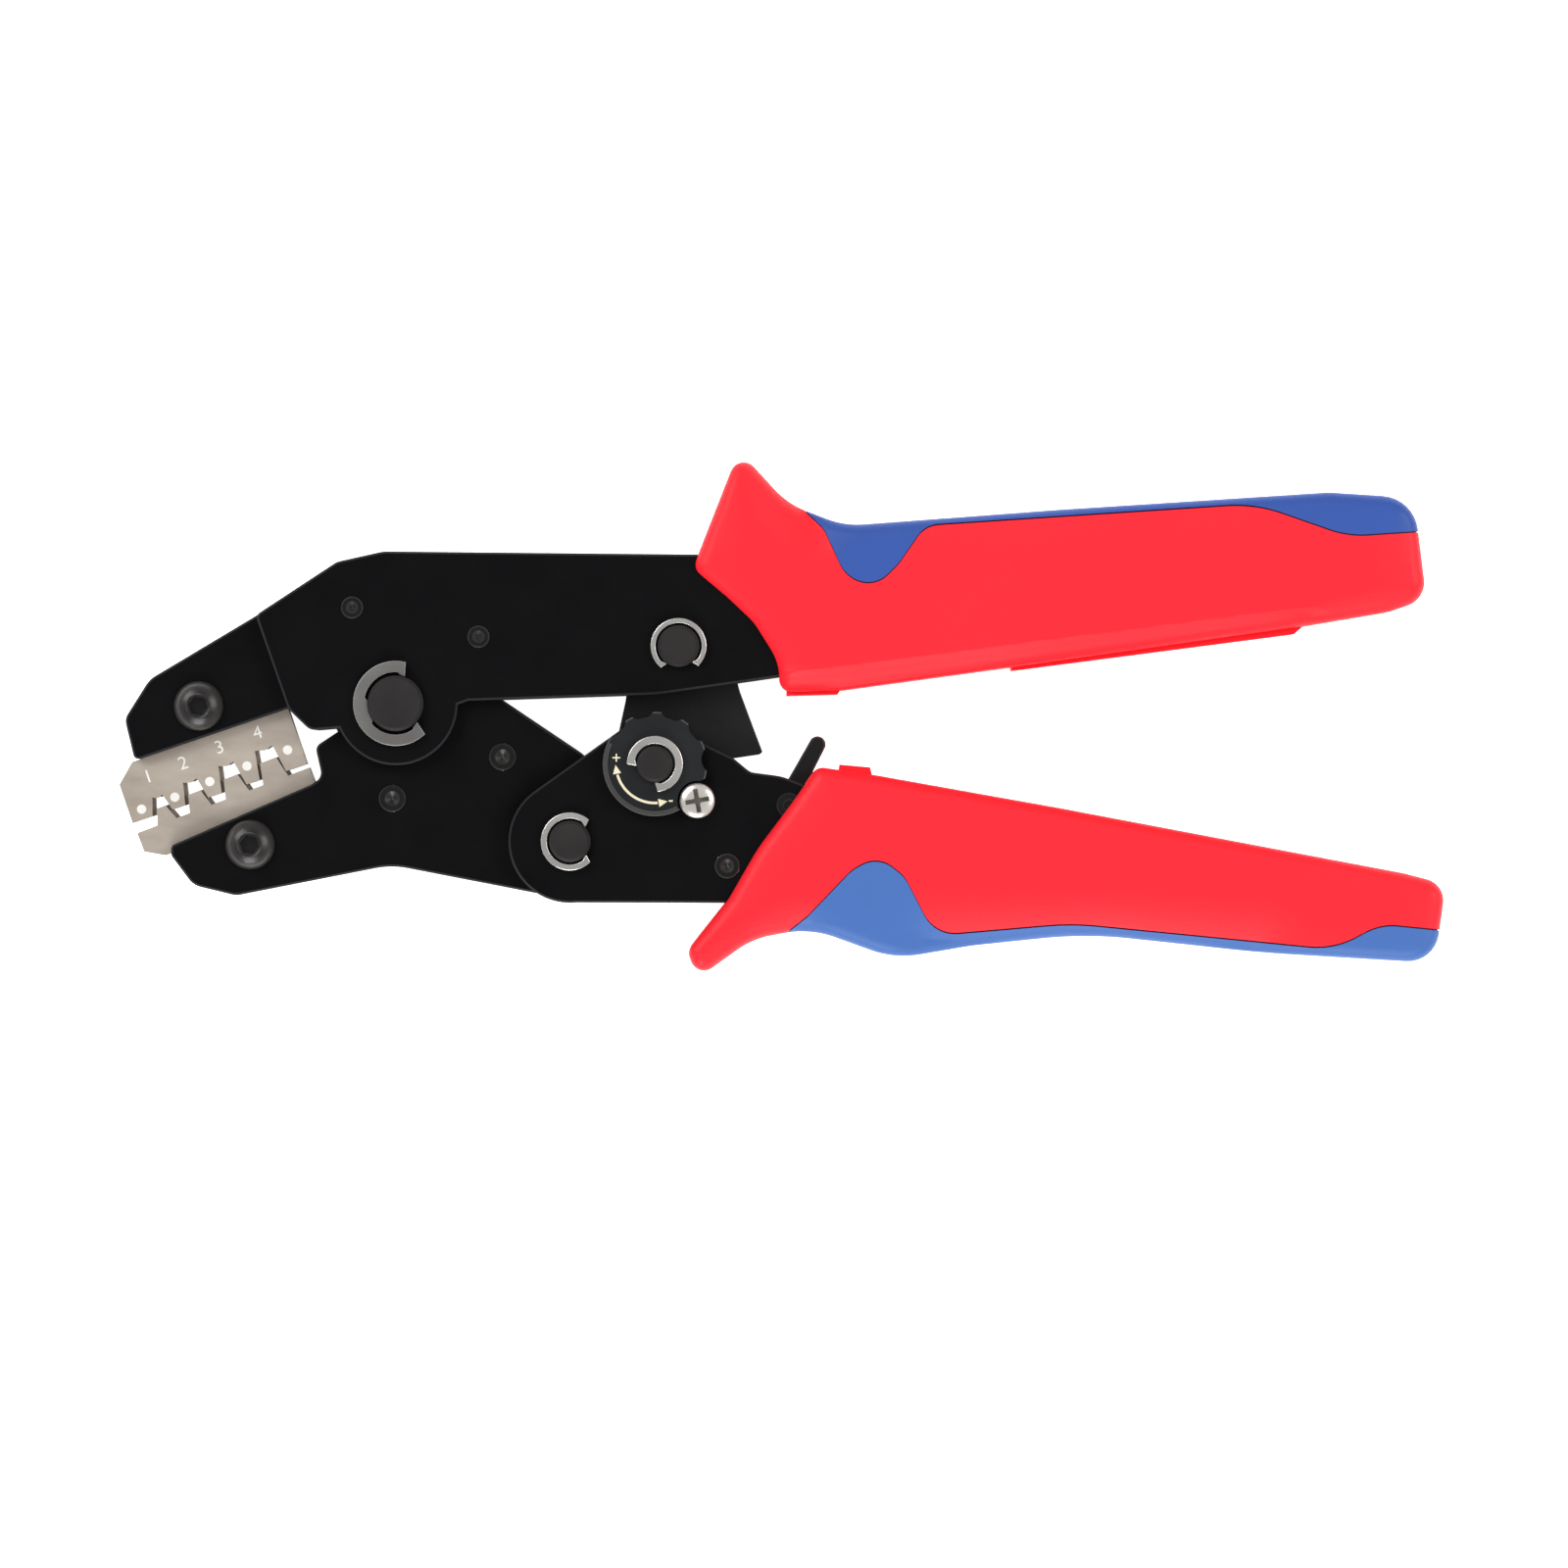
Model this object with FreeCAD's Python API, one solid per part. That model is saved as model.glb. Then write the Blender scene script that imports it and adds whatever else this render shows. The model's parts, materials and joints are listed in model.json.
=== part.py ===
import FreeCAD, Part
import os
from math import asin, atan2, cos, pi, radians, sin

V = FreeCAD.Vector

# ---------------------------------------------------------------- driving dimensions, mm and degrees
# The tool lies on its back: X along it with the jaws at -X, +Y towards the fixed handle, Z up.
# Outlines are drawn about the main pivot, and levels are measured from the mid-plane between the plates.
MAIN_PIVOT_AT = (-55.38, 1.70)   # main pivot in the finished frame
MID_LEVEL = 9.0                  # height of the mid-plane above the table

MAIN_PIVOT = (0.0, 0.0)          # lower jaw on the fixed arm
HANDLE_PIVOT = (25.06, -19.87)   # moving handle on the lower jaw
LINK_PIVOT = (40.71, 8.25)       # ratchet link on the fixed arm
ADJUSTER = (37.32, -8.73)        # adjusting pin, the pivot between link and handle
PAWL_PIVOT = (56.6, -14.65)

MAIN_PIN_R = 4.0
SIDE_PIN_R = 3.0
ADJUSTER_PIN_R = 2.6
PAWL_PIN_R = 1.8
RUNNING = 0.05                   # radial clearance of a pin in its hole

DIE_HALF = 2.5                   # two die plates, one each side of the mid-plane
CHEEK_OUT = 4.5                  # outside level of the inner plates, which start at DIE_HALF
PLATE_IN = 4.6                   # inside level of the outer plates
PLATE_OUT = 7.1                  # outside level of the outer plates
LINK_HALF = 2.4                  # link and pawl run between the inner plates
RING_THICK = 0.9
GRIP_HALF = 9.0                  # the flat backs of both grips rest on the table
POCKET_HALF = 7.2                # pocket in a grip, over the outer plates
FIT = 0.12                       # gap between a grip's pocket and the plates in it

JAW_LOBE_R = 9.4                 # lower jaw around the main pivot
HEAD_CLEAR_R = 9.8               # fixed head plates stay outside this circle
HANDLE_END_R = 8.6               # lower jaw around the handle pivot
RATCHET_TIP_R = 11.3
RATCHET_ROOT_R = 10.2
PAWL_GAP = 0.5                   # pawl tip to the tooth tips

DIE_TILT = 18.8                  # direction of the closed die line
JAW_LEFT_TO_CLOSE = 2.0          # the jaw stands this far open at rest
DIE_SCREW = (-28.5, -0.35)       # upper die screw, the origin of the die frame
SCREW_PITCH = 20.38              # across the die line from upper to lower die screw, closed
SCREW_STEP = 0.16                # and along it
DIE_SCREW_R = 2.0
CHEEK_EDGE = 4.5                 # from each die screw to the edge of its jaw plates

EASE = 0.3                       # broken edge on stamped plates
GRIP_EASE = 1.5


# ---------------------------------------------------------------- drawing helpers
def outline(points):
    """Face from corner points (x, y) or (x, y, radius), with a tangent arc at each radius."""
    turns = [a[0] * b[1] - b[0] * a[1] for a, b in zip(points, points[1:] + points[:1])]
    if sum(turns) < 0:
        points = points[::-1]
    ends = []
    edges = []
    count = len(points)
    for i, point in enumerate(points):
        corner = V(point[0], point[1], 0)
        before = V(points[i - 1][0], points[i - 1][1], 0) - corner
        after = V(points[(i + 1) % count][0], points[(i + 1) % count][1], 0) - corner
        if len(point) < 3:
            ends.append((corner, corner))
            continue
        half = before.getAngle(after) / 2
        run = point[2] * cos(half) / sin(half)
        start = corner + before.normalize() * run
        finish = corner + after.normalize() * run
        bisector = (start + finish) * 0.5 - corner
        reach = point[2] / sin(half) - point[2]
        middle = corner + bisector.normalize() * reach
        edges.append(Part.Arc(start, middle, finish).toShape())
        ends.append((start, finish))
    for i in range(count):
        leave = ends[i][1]
        arrive = ends[(i + 1) % count][0]
        if leave.distanceToPoint(arrive) > 1e-6:
            edges.append(Part.LineSegment(leave, arrive).toShape())
    return Part.Face(Part.Wire(Part.__sortEdges__(edges)))


def disc_face(at, radius):
    return Part.Face(Part.Wire(Part.makeCircle(radius, V(at[0], at[1], 0))))


def union(shapes):
    merged = shapes[0].fuse(shapes[1:]).removeSplitter()
    if len(merged.Faces) == 1:
        return merged.Faces[0]
    return merged


def strap_face(start, start_r, end, end_r):
    """Two discs and the band between their outer tangents."""
    along = V(end[0] - start[0], end[1] - start[1], 0)
    heading = atan2(along.y, along.x)
    lean = asin((start_r - end_r) / along.Length)
    corners = []
    for at, radius, side in ((start, start_r, 1), (start, start_r, -1), (end, end_r, -1), (end, end_r, 1)):
        angle = heading + side * (pi / 2 - lean)
        corners.append((at[0] + radius * cos(angle), at[1] + radius * sin(angle)))
    return union([outline(corners), disc_face(start, start_r), disc_face(end, end_r)])


def slab(face, low, high):
    """Solid of a plan outline between two levels."""
    solid = face.extrude(V(0, 0, high - low))
    solid.translate(V(0, 0, low))
    if len(solid.Solids) > 1:
        solid = union(solid.Solids)
    return solid.Solids[0]


def disc(at, radius, low, high):
    return Part.makeCylinder(radius, high - low, V(at[0], at[1], low))


def eased(solid, size, levels):
    """Chamfer all edges that lie flat at the given levels."""
    rim = []
    for edge in solid.Edges:
        box = edge.BoundBox
        if box.ZLength < 1e-6 and any(abs(box.ZMin - level) < 1e-6 for level in levels):
            rim.append(edge)
    return solid.makeChamfer(size, rim)


def drilled(solid, holes):
    """Cut round holes given as (place, radius) right through."""
    for at, radius in holes:
        solid = solid.cut(disc(at, radius, -20, 20))
    return solid


def turned(shape, angle, about=MAIN_PIVOT):
    shape = shape.copy()
    shape.rotate(V(about[0], about[1], 0), V(0, 0, 1), angle)
    return shape


def polar(at, radius, angle):
    return (at[0] + radius * cos(radians(angle)), at[1] + radius * sin(radians(angle)))


def die_point(u, v):
    """Point of the die frame: u along the die line, v across it towards the fixed head."""
    tilt = radians(DIE_TILT)
    return (DIE_SCREW[0] + u * cos(tilt) - v * sin(tilt), DIE_SCREW[1] + u * sin(tilt) + v * cos(tilt))


def rest_point(at, opening=JAW_LEFT_TO_CLOSE):
    """Where a point of the closed lower jaw stands at rest."""
    t = radians(opening)
    return (at[0] * cos(t) - at[1] * sin(t), at[0] * sin(t) + at[1] * cos(t))


def save(name, shape):
    shape = shape.copy()
    shape.translate(V(MAIN_PIVOT_AT[0], MAIN_PIVOT_AT[1], MID_LEVEL))
    if not shape.isValid():
        raise ValueError(name + " is not a valid shape")
    shape.exportStep("parts/" + name + ".step")
    box = shape.BoundBox
    print("%-22s %d solid, %7.0f mm3, z %.2f to %.2f" % (name, len(shape.Solids), shape.Volume, box.ZMin, box.ZMax))


# ---------------------------------------------------------------- pins, rings, rivets and screws
FRAME_RIVET = (-6.3, 13.8)
SPRING_ANCHOR = (11.9, 9.6)
FRAME_RIVET_R = 1.6
JAW_RIVETS = ((-0.6, -13.7), (15.3, -7.7))
JAW_RIVET_R = 1.95
PAWL_SPRING_ANCHOR = (47.7, -23.4)
LOCK_SCREW = (43.4, -14.0)
LOCK_SHANK_R = 1.5
LOCK_HEAD_R = 2.55
SPRING_HOLE = (LINK_PIVOT[0], LINK_PIVOT[1] + 6.5)
SPRING_HOLE_R = 1.1


def rivet(at, radius, reach, proud=0.25):
    """Flush rivet with a punched dimple in both ends."""
    body = eased(disc(at, radius, -reach - proud, reach + proud), 0.2, (-reach - proud, reach + proud))
    for side in (1, -1):
        dimple = Part.makeCone(0, radius * 0.55, 0.8, V(at[0], at[1], side * (reach + proud - 0.8)), V(0, 0, side))
        body = body.cut(dimple)
    return body


def clip_pin(at, radius, head_r, head_level, tip_level, ring_level=PLATE_OUT):
    """Headed pin: head on the back, groove for a retaining ring on the front."""
    pin = eased(disc(at, radius, -PLATE_OUT - 0.05, tip_level), 0.45, (tip_level,))
    head = eased(disc(at, head_r, head_level, -PLATE_OUT - 0.05), 0.4, (head_level,))
    groove = disc(at, radius + 1, ring_level + 0.03, ring_level + RING_THICK + 0.12)
    groove = groove.cut(disc(at, radius - 0.55, -20, 20))
    return union([pin, head]).cut(groove)


def retaining_ring(at, pin_r, outer_r, gap_from, gap_to, level):
    """Open spring ring in a pin's groove."""
    low = level + 0.06
    high = low + RING_THICK
    ring = disc(at, outer_r, low, high).cut(disc(at, pin_r - 0.5, -20, 20))
    half = (gap_to - gap_from) / 2
    mouth = gap_from + half
    wedge = [at]
    for turn in (-1, -0.33, 0.33, 1):
        wedge.append(polar(at, outer_r * 1.6, mouth + turn * half))
    ring = ring.cut(slab(outline(wedge), low - 1, high + 1))
    return eased(ring, 0.12, (high,))


def socket_screw(at, tilt):
    """Button-head M4 screw with a hexagon socket, through the cheeks and both die plates."""
    head_h = 2.2
    head = eased(disc(at, 3.6, CHEEK_OUT, CHEEK_OUT + head_h), 1.1, (CHEEK_OUT + head_h,))
    shank = disc(at, DIE_SCREW_R, -CHEEK_OUT - 3.2, CHEEK_OUT)
    socket = [polar(at, 1.45, tilt + 60 * i) for i in range(6)]
    return union([head, shank]).cut(slab(outline(socket), CHEEK_OUT + 0.8, CHEEK_OUT + 4))


def hex_nut(at, tilt):
    nut = slab(outline([polar(at, 4.04, tilt + 60 * i) for i in range(6)]), -CHEEK_OUT - 2.4, -CHEEK_OUT)
    return drilled(nut, [(at, DIE_SCREW_R + 0.02)])


# ---------------------------------------------------------------- crimping dies
# Each nest: place along the die line, half width at its mouth, half width and level of its roof, and the
# clear height left in it when the jaw is closed.
NESTS = (
    (-10.0, 1.55, 0.75, -10.3, 0.4),
    (-4.8, 1.75, 1.05, -9.7, 0.75),
    (0.9, 1.9, 1.15, -9.1, 1.1),
    (6.8, 2.0, 1.35, -8.7, 1.2),
)
TAB_END = -12.9                  # lower end of the upper die's tabs
SEAT_LEVEL = -13.0               # floor of the lower die's slots
SIDE_GAP = 0.1                   # clearance between a tab and an anvil
REAR_SHIFT = 0.5                 # the rear plates' nests stand this far along from the front ones
DIE_LEFT = -14.6
DIE_RIGHT = 12.0
LOWER_SCREW_AT = rest_point(die_point(SCREW_STEP, -SCREW_PITCH))


def upper_die(low, high, shift):
    """Comb with five tabs and four nests between them."""
    corners = [(-4.5, 5.0), (-9.0, 1.8), (-9.0, -CHEEK_EDGE), (-11.8, -CHEEK_EDGE), (DIE_LEFT, -7.0), (DIE_LEFT, TAB_END)]
    for u, mouth, roof, level, height in NESTS:
        u += shift
        corners += [(u - mouth, TAB_END), (u - roof, level)]
        corners += [(u, level - 0.35), (u + roof, level), (u + mouth, TAB_END)]
    corners += [(DIE_RIGHT, TAB_END), (DIE_RIGHT, -CHEEK_EDGE), (9.0, -CHEEK_EDGE), (9.0, 5.0)]
    plate = slab(outline([die_point(u, v) for u, v in corners]), low, high)
    return drilled(plate, [(DIE_SCREW, DIE_SCREW_R + RUNNING)])


def lower_die(low, high, shift):
    """Matching anvils, one under each nest."""
    base = -SCREW_PITCH + CHEEK_EDGE
    corners = [(-4.8, -25.0), (-9.0, -21.8), (-9.0, base - 1.6), (-11.9, base - 1.6), (DIE_LEFT, base), (DIE_LEFT, SEAT_LEVEL)]
    for u, mouth, roof, level, height in NESTS:
        u += shift
        foot = mouth - SIDE_GAP
        top = roof - SIDE_GAP
        corners += [(u - foot, SEAT_LEVEL), (u - top, level - height)]
        corners += [(u + top, level - height), (u + foot, SEAT_LEVEL)]
    corners += [(DIE_RIGHT, SEAT_LEVEL), (DIE_RIGHT, base), (9.0, base), (9.0, -25.0)]
    plate = slab(outline([die_point(u, v) for u, v in corners]), low, high)
    return drilled(turned(plate, JAW_LEFT_TO_CLOSE), [(LOWER_SCREW_AT, DIE_SCREW_R + RUNNING)])


def save_dies():
    save("upper_die_front", upper_die(0, DIE_HALF, 0))
    save("upper_die_rear", upper_die(-DIE_HALF, 0, REAR_SHIFT))
    save("lower_die_front", lower_die(0, DIE_HALF, 0))
    save("lower_die_rear", lower_die(-DIE_HALF, 0, REAR_SHIFT))
    save("upper_die_screw", socket_screw(DIE_SCREW, DIE_TILT))
    save("upper_die_nut", hex_nut(DIE_SCREW, DIE_TILT))
    save("lower_die_screw", socket_screw(LOWER_SCREW_AT, DIE_TILT))
    save("lower_die_nut", hex_nut(LOWER_SCREW_AT, DIE_TILT))


# ---------------------------------------------------------------- fixed arm
HEAD_EDGE = [(-39.2, -2.2, 2.0), die_point(-11.3, -CHEEK_EDGE) + (0.8,), die_point(11.6, -CHEEK_EDGE)]


def upper_frame_face():
    """Outer plate: rounded head over the main pivot, then a tang inside the grip."""
    head = outline([
        (-20.2, 12.7, 1.0), (-15.5, -0.8, 2.5), (-12.3, -3.9, 2.0), (-6.5, -3.4), (7.5, -0.7), (10.4, 0.4, 0.8),
        (37.6, 1.3, 30), (55.0, 3.8, 30), (88.0, 9.2, 60), (130.0, 14.4), (137.5, 16.5, 2.5), (137.0, 22.4, 2.5),
        (96.0, 21.2), (66.0, 19.6, 20), (58.0, 21.3, 10), (-1.8, 21.9, 5), (-8.5, 20.4, 3),
    ])
    return union([head, disc_face(MAIN_PIVOT, 8.9)])


def head_face():
    """Head plates and filler under the outer plates, clear of the lower jaw's lobe."""
    head = outline([
        (-20.2, 12.7), (-35.6, 3.5, 4), HEAD_EDGE[0], HEAD_EDGE[1], HEAD_EDGE[2], (-8.0, 1.2),
        (-3.0, 6.0), (4.0, 9.5), (4.0, 20.8, 1), (-8.5, 19.9, 3),
    ])
    return head.cut(disc_face(MAIN_PIVOT, HEAD_CLEAR_R))


def save_fixed_arm():
    pins = [(MAIN_PIVOT, MAIN_PIN_R + RUNNING), (LINK_PIVOT, SIDE_PIN_R + RUNNING)]
    rivets = [(FRAME_RIVET, FRAME_RIVET_R + 0.02), (SPRING_ANCHOR, FRAME_RIVET_R + 0.02)]
    for name, low, high, face_level in (("front", PLATE_IN, PLATE_OUT, PLATE_OUT),
                                        ("rear", -PLATE_OUT, -PLATE_IN, -PLATE_OUT)):
        plate = eased(slab(upper_frame_face(), low, high), EASE, (face_level,))
        save("upper_frame_" + name, drilled(plate, pins + rivets))
    screw_hole = [(DIE_SCREW, DIE_SCREW_R + RUNNING), (FRAME_RIVET, FRAME_RIVET_R + 0.02)]
    for name, low, high, face_level in (("front", DIE_HALF, CHEEK_OUT, CHEEK_OUT),
                                        ("rear", -CHEEK_OUT, -DIE_HALF, -CHEEK_OUT)):
        cheek = eased(slab(head_face(), low, high), EASE, (face_level,))
        save("upper_cheek_" + name, drilled(cheek, screw_hole))
    core = slab(head_face(), -DIE_HALF, DIE_HALF)
    die_seat = outline([die_point(u, v) for u, v in ((-20, 5.05), (-20, -30), (9.05, -30), (9.05, 5.05))])
    core = core.cut(slab(die_seat, -5, 5))
    right_of_die = outline([die_point(u, v) for u, v in ((8, -CHEEK_EDGE), (8, -30), (40, -30), (40, -CHEEK_EDGE))])
    core = core.cut(slab(right_of_die, -5, 5))
    save("upper_jaw_core", drilled(core, screw_hole))
    save("upper_frame_rivet", rivet(FRAME_RIVET, FRAME_RIVET_R, PLATE_OUT))
    save("spring_anchor_pin", rivet(SPRING_ANCHOR, FRAME_RIVET_R, PLATE_OUT))
    save("main_pivot_pin", clip_pin(MAIN_PIVOT, MAIN_PIN_R, 6.2, -GRIP_HALF, 8.9))
    save("main_pivot_clip", retaining_ring(MAIN_PIVOT, MAIN_PIN_R, 6.15, -41, 71, PLATE_OUT))
    save("link_pivot_pin", clip_pin(LINK_PIVOT, SIDE_PIN_R, 4.3, -8.2, 8.6))
    save("link_pivot_clip", retaining_ring(LINK_PIVOT, SIDE_PIN_R, 4.05, -123, -51, PLATE_OUT))
    spacer = slab(outline([(100, 14.5), (126, 17.5), (126, 20.6), (100, 19.6)]), -PLATE_IN + 0.02, PLATE_IN - 0.02)
    save("upper_tang_spacer", spacer)


def tension_spring(start, end, outer_r, inner_r, start_gap, end_gap):
    """Closed stand-in for a close-wound spring between two anchors, short of them by the gaps."""
    run = V(end[0] - start[0], end[1] - start[1], 0)
    length = run.Length - start_gap - end_gap
    base = V(start[0], start[1], 0) + run * (start_gap / run.Length)
    coil = Part.makeCylinder(outer_r, length, base, run)
    return coil.cut(Part.makeCylinder(inner_r, length, base, run))


# ---------------------------------------------------------------- lower jaw
def lower_jaw_face():
    body = outline([
        (-32.5, -21.9, 1.0), (-32.5, -20.5, 0.8), (-12.3, -11.7, 2), (-10.7, -10.6, 1.5), (-11.7, -6.2, 1.2),
        (-7.9, -3.7), (-4.5, 6.0), (4.7, 7.6), (27.0, -7.4, 4), (31.7, -14.7), (24.0, -20.0),
        (23.0, -27.9), (-0.7, -23.3, 12), (-23.1, -27.7, 3), (-29.3, -26.2, 3),
    ])
    return union([body, disc_face(MAIN_PIVOT, JAW_LOBE_R), disc_face(HANDLE_PIVOT, HANDLE_END_R)])


def save_lower_jaw():
    rivets = [(at, JAW_RIVET_R + 0.02) for at in JAW_RIVETS]
    holes = rivets + [(MAIN_PIVOT, MAIN_PIN_R + RUNNING), (LOWER_SCREW_AT, DIE_SCREW_R + RUNNING)]
    holes += [(HANDLE_PIVOT, SIDE_PIN_R + RUNNING)]
    for name, low, high, face_level in (("front", DIE_HALF, CHEEK_OUT, CHEEK_OUT),
                                        ("rear", -CHEEK_OUT, -DIE_HALF, -CHEEK_OUT)):
        cheek = eased(slab(lower_jaw_face(), low, high), EASE, (face_level,))
        save("lower_cheek_" + name, drilled(cheek, holes))
    core = slab(lower_jaw_face(), -DIE_HALF, DIE_HALF)
    keep = outline([(-40, 12), (-40, -30), (19, -30), (19, 12)])
    base = -SCREW_PITCH + CHEEK_EDGE
    seat = [(-20, 0), (-20, -25.05), (9.05, -25.05), (9.05, base), (13, base), (13, 0)]
    die_seat = turned(outline([die_point(u, v) for u, v in seat]), JAW_LEFT_TO_CLOSE)
    core = core.common(slab(keep, -5, 5)).cut(slab(die_seat, -5, 5)).Solids[0]
    save("lower_jaw_core", drilled(core, holes))
    save("lower_jaw_rivets", Part.makeCompound([rivet(at, JAW_RIVET_R, CHEEK_OUT, 0.3) for at in JAW_RIVETS]))
    bush = drilled(disc(HANDLE_PIVOT, 4.5, -DIE_HALF, DIE_HALF), [(HANDLE_PIVOT, SIDE_PIN_R + RUNNING)])
    save("handle_pivot_spacer", bush)


# ---------------------------------------------------------------- moving handle
def handle_plate_face():
    """Outer plate from the handle pivot, past the adjusting pin, to a tang inside the grip."""
    strap = strap_face(HANDLE_PIVOT, 8.85, ADJUSTER, 6.9)
    body = outline([
        HANDLE_PIVOT, ADJUSTER, (43.3, -5.3), (48.6, -7.9, 2), (51.0, -9.9, 2), (55.6, -10.5, 8), (62.0, -13.0, 8),
        (95.0, -18.8), (134.0, -26.2, 2), (136.0, -31.6, 2), (107.0, -29.9), (75.0, -28.9, 60), (46.3, -28.72),
        (HANDLE_PIVOT[0], HANDLE_PIVOT[1] - 8.8),
    ])
    return union([strap, body])


def save_moving_handle():
    holes = [(HANDLE_PIVOT, SIDE_PIN_R + RUNNING), (ADJUSTER, ADJUSTER_PIN_R + RUNNING)]
    holes += [(PAWL_PIVOT, PAWL_PIN_R + RUNNING), (PAWL_SPRING_ANCHOR, PAWL_PIN_R + 0.02)]
    for name, low, high, face_level in (("front", PLATE_IN, PLATE_OUT, PLATE_OUT),
                                        ("rear", -PLATE_OUT, -PLATE_IN, -PLATE_OUT)):
        plate = eased(slab(handle_plate_face(), low, high), EASE, (face_level,))
        save("handle_plate_" + name, drilled(plate, holes + [(LOCK_SCREW, LOCK_SHANK_R + 0.02)]))
    save("handle_pivot_pin", clip_pin(HANDLE_PIVOT, SIDE_PIN_R, 4.3, -8.2, 8.6))
    save("handle_pivot_clip", retaining_ring(HANDLE_PIVOT, SIDE_PIN_R, 4.2, -39, 43, PLATE_OUT))
    head = eased(disc(LOCK_SCREW, LOCK_HEAD_R, PLATE_OUT, 8.9), 0.3, (8.9,))
    cross = [slab(turned(outline([polar(LOCK_SCREW, r, a) for r, a in ((1.7, 14), (1.7, -14), (1.7, 194), (1.7, 166))]),
                         turn, LOCK_SCREW), 8.1, 10) for turn in (10, 100)]
    shank = disc(LOCK_SCREW, LOCK_SHANK_R, PLATE_IN, PLATE_OUT)
    save("lock_screw", union([head, shank]).cut(cross))
    save("pawl_pin", rivet(PAWL_PIVOT, PAWL_PIN_R, PLATE_OUT, 0.05))
    save("pawl_spring_anchor", rivet(PAWL_SPRING_ANCHOR, PAWL_PIN_R, PLATE_OUT, 0.25))
    collar = drilled(disc(ADJUSTER, 5.0, LINK_HALF + 0.06, PLATE_IN - 0.02), [(ADJUSTER, ADJUSTER_PIN_R + RUNNING)])
    save("adjuster_spacers", Part.makeCompound([collar, collar.mirror(V(0, 0, 0), V(0, 0, 1))]))
    spacer = slab(outline([(96, -21.0), (124, -26.2), (124, -29.6), (96, -28.8)]), -PLATE_IN + 0.02, PLATE_IN - 0.02)
    save("lower_tang_spacer", spacer)


# ---------------------------------------------------------------- ratchet link, adjuster and pawl
TOOTH_COUNT = 9
TOOTH_PITCH = 8.0
FIRST_TOOTH = -80.0
SLOT_OFFSET = (-0.05, -0.5)      # clearance hole of the link, off the adjusting pin's centre
SLOT_R = ADJUSTER_PIN_R + 0.8


def ratchet_link_face():
    """Link between the upper pin and the adjusting pin, with the ratchet teeth about the latter."""
    arm = outline([
        (33.1, 9.0), (33.1, 0.8, 6), (31.6, -6.0), (36.0, -10.0), (48.6, -7.9), (52.3, -7.35, 0.4),
        (52.8, -7.0, 0.3), (49.3, 2.3, 10), (48.2, 9.0), (44.6, 17.0, 2.2), (36.8, 17.0, 2.2),
    ])
    teeth = [ADJUSTER]
    for i in range(TOOTH_COUNT):
        start = FIRST_TOOTH + i * TOOTH_PITCH
        teeth.append(polar(ADJUSTER, RATCHET_ROOT_R, start))
        teeth.append(polar(ADJUSTER, RATCHET_TIP_R, start + TOOTH_PITCH * 0.4))
        teeth.append(polar(ADJUSTER, RATCHET_TIP_R, start + TOOTH_PITCH * 0.6))
    teeth.append(polar(ADJUSTER, RATCHET_ROOT_R, FIRST_TOOTH + TOOTH_COUNT * TOOTH_PITCH))
    teeth.append((47.0, -6.5))
    return union([arm, outline(teeth), disc_face(ADJUSTER, 6.3), disc_face(LINK_PIVOT, 7.6)])


def save_ratchet_link():
    slot = (ADJUSTER[0] + SLOT_OFFSET[0], ADJUSTER[1] + SLOT_OFFSET[1])
    holes = [(LINK_PIVOT, SIDE_PIN_R + RUNNING), (slot, SLOT_R), (SPRING_HOLE, SPRING_HOLE_R)]
    save("ratchet_link_front", drilled(eased(slab(ratchet_link_face(), 0, LINK_HALF), 0.15, (LINK_HALF,)), holes))
    save("ratchet_link_rear", drilled(eased(slab(ratchet_link_face(), -LINK_HALF, 0), 0.15, (-LINK_HALF,)), holes))
    washer = drilled(disc(LINK_PIVOT, 4.5, LINK_HALF, PLATE_IN - 0.05), [(LINK_PIVOT, SIDE_PIN_R + RUNNING)])
    save("link_washers", Part.makeCompound([washer, washer.mirror(V(0, 0, 0), V(0, 0, 1))]))
    save("return_spring", tension_spring(SPRING_ANCHOR, SPRING_HOLE, 2.1, 1.4, 2.6, 10.0))


WHEEL_R = 7.5
WHEEL_LOW = 7.15
WHEEL_HIGH = 8.75
NOTCH_CENTRES = (136.5, 104.0, 71.0, 38.0, 4.5, -28.5)
NOTCH_DISTANCE = 9.0
NOTCH_R = 2.3
LOCK_PLAY = 0.3


def save_adjuster():
    wheel = eased(disc(ADJUSTER, WHEEL_R, WHEEL_LOW, WHEEL_HIGH), 0.2, (WHEEL_HIGH,))
    for angle in NOTCH_CENTRES:
        wheel = wheel.cut(disc(polar(ADJUSTER, NOTCH_DISTANCE, angle), NOTCH_R, 0, 20))
    wheel = wheel.cut(disc(LOCK_SCREW, LOCK_HEAD_R + LOCK_PLAY, 0, 20))
    save("adjusting_wheel", drilled(wheel, [(ADJUSTER, ADJUSTER_PIN_R + 0.02)]))
    pin = clip_pin(ADJUSTER, ADJUSTER_PIN_R, 4.0, -8.2, 10.2, WHEEL_HIGH)
    slot = slab(outline([(ADJUSTER[0] - 5, ADJUSTER[1] - 0.5), (ADJUSTER[0] + 5, ADJUSTER[1] - 0.5),
                         (ADJUSTER[0] + 5, ADJUSTER[1] + 0.5), (ADJUSTER[0] - 5, ADJUSTER[1] + 0.5)]), -9, -7.7)
    save("adjusting_pin", pin.cut(slot))
    save("adjusting_pin_clip", retaining_ring(ADJUSTER, ADJUSTER_PIN_R, 4.05, 186, 270, WHEEL_HIGH))


PAWL_TIP = polar(ADJUSTER, RATCHET_TIP_R + PAWL_GAP, -35.8)
LEVER = ((57.0, -12.8), (60.7, -5.9))
LEVER_HALF = 1.2


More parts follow.
